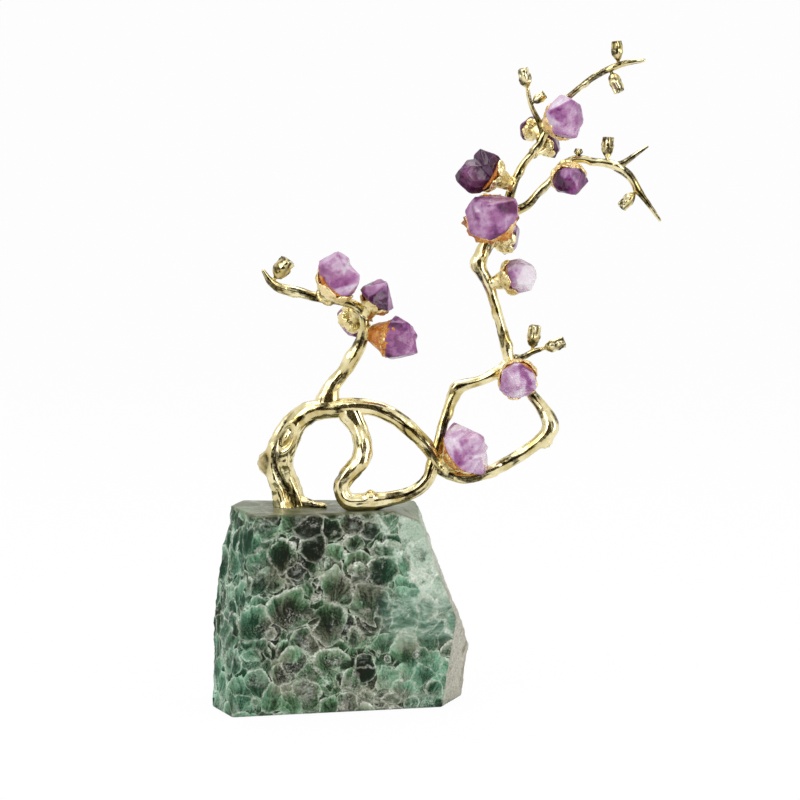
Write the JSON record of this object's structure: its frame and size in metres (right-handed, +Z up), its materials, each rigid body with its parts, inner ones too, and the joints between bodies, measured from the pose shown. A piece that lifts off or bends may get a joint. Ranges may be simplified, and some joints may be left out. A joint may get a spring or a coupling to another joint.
{
  "type": "gemstone tree ornament",
  "caption": "Branching cast brass tree with amethyst blossoms in petalled cups, rising from a sawn block of banded green stone; a free-standing ornament.",
  "frame": {"origin": "middle of the stone block's flat underside", "axes": "+Z up the tree, +X to the right as seen from the polished face, +Y away from the viewer through the block"},
  "size_m": [0.2, 0.0522, 0.297],
  "materials": {
    "green_stone": "polished face, sawn back and sides",
    "cast_brass": "polished casting",
    "bud_brass": "polished casting",
    "cup_brass": "pebbled casting",
    "amethyst": "natural crystal faces",
    "amber_resin": "set bonding resin",
    "steel_anchor": "plain bar"
  },
  "bodies": {
    "root": {"stone_base": "green_stone", "trunk_arch": "cast_brass", "root_spur": "cast_brass", "s_limb": "cast_brass", "loop_sweep": "cast_brass", "upper_limb": "cast_brass", "loop_riser": "cast_brass", "loop_spur": "cast_brass", "top_twig": "cast_brass", "side_twig": "cast_brass", "right_twig": "cast_brass", "right_spur": "cast_brass", "left_branch": "cast_brass", "left_bud": "bud_brass", "loop_buds": "bud_brass", "side_twig_buds": "bud_brass", "top_twig_buds": "bud_brass", "right_twig_buds": "bud_brass", "anchor_stud": "steel_anchor", "anchor_pin": "steel_anchor", "cup_left_front": "cup_brass", "cup_left_upper": "cup_brass", "cup_left_lower": "cup_brass", "cup_left_rear": "cup_brass", "cup_loop_low": "cup_brass", "cup_loop_high": "cup_brass", "cup_stem_side": "cup_brass", "cup_stem_rear": "cup_brass", "cup_stem_front": "cup_brass", "cup_fork_left": "cup_brass", "cup_crown_front": "cup_brass", "cup_crown_rear_left": "cup_brass", "cup_crown_rear_low": "cup_brass", "cup_right_hanging": "cup_brass", "amethyst_left_front": "amethyst", "amethyst_left_upper": "amethyst", "amethyst_left_lower": "amethyst", "amethyst_left_rear": "amethyst", "amethyst_loop_low": "amethyst", "amethyst_loop_high": "amethyst", "amethyst_stem_side": "amethyst", "amethyst_stem_rear": "amethyst", "amethyst_stem_front": "amethyst", "amethyst_fork_left": "amethyst", "amethyst_crown_front": "amethyst", "amethyst_crown_rear_left": "amethyst", "amethyst_crown_rear_low": "amethyst", "amethyst_right_hanging": "amethyst", "resin_beds": "amber_resin"}
  },
  "joints": []
}
